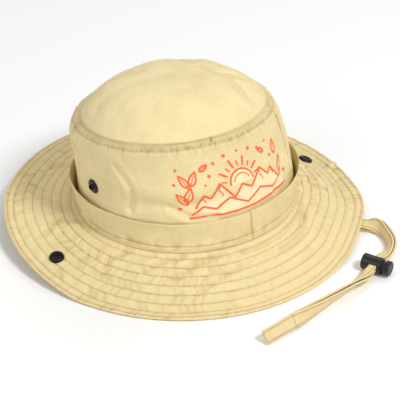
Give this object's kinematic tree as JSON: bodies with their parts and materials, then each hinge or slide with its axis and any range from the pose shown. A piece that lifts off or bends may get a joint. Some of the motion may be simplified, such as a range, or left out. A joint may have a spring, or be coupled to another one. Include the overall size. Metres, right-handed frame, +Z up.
{
  "type": "safari hat",
  "caption": "Soft cloth sun hat with a round crown, a wide stitched brim that snaps up at the sides, and a chin strap with a cord lock.",
  "frame": {"origin": "on the surface that the hat rests on, under the middle of the brim's outline", "axes": "+Z up through the crown, -Y towards the front of the hat, +X towards the side where the chin strap comes out"},
  "size_m": [0.2824, 0.3111, 0.1332],
  "materials": {
    "cotton_twill": "matte",
    "strap_cotton": "matte",
    "snap_metal": "semi-gloss black",
    "lock_plastic": "fine matte"
  },
  "bodies": {
    "hat": {"top_panel": "cotton_twill", "wall_front": "cotton_twill", "wall_back": "cotton_twill", "crown_band": "cotton_twill", "brim": "cotton_twill", "strap_right": "strap_cotton", "strap_left": "strap_cotton", "strap_tip": "strap_cotton", "brim_snap_left": "snap_metal", "brim_snap_right": "snap_metal", "brim_cap_left": "snap_metal", "brim_cap_right": "snap_metal", "crown_snap_left": "snap_metal", "crown_snap_right": "snap_metal", "crown_cap_left": "snap_metal", "crown_cap_right": "snap_metal", "lock_barrel": "lock_plastic"},
    "button": {"lock_button": "lock_plastic"}
  },
  "joints": [
    {"name": "lock_button_press", "type": "slide", "parent": "hat", "child": "button", "axis": [-0.4626, 0.8866, 0], "range_m": [0, 0.002], "stiffness_N_per_m": 800}
  ]
}
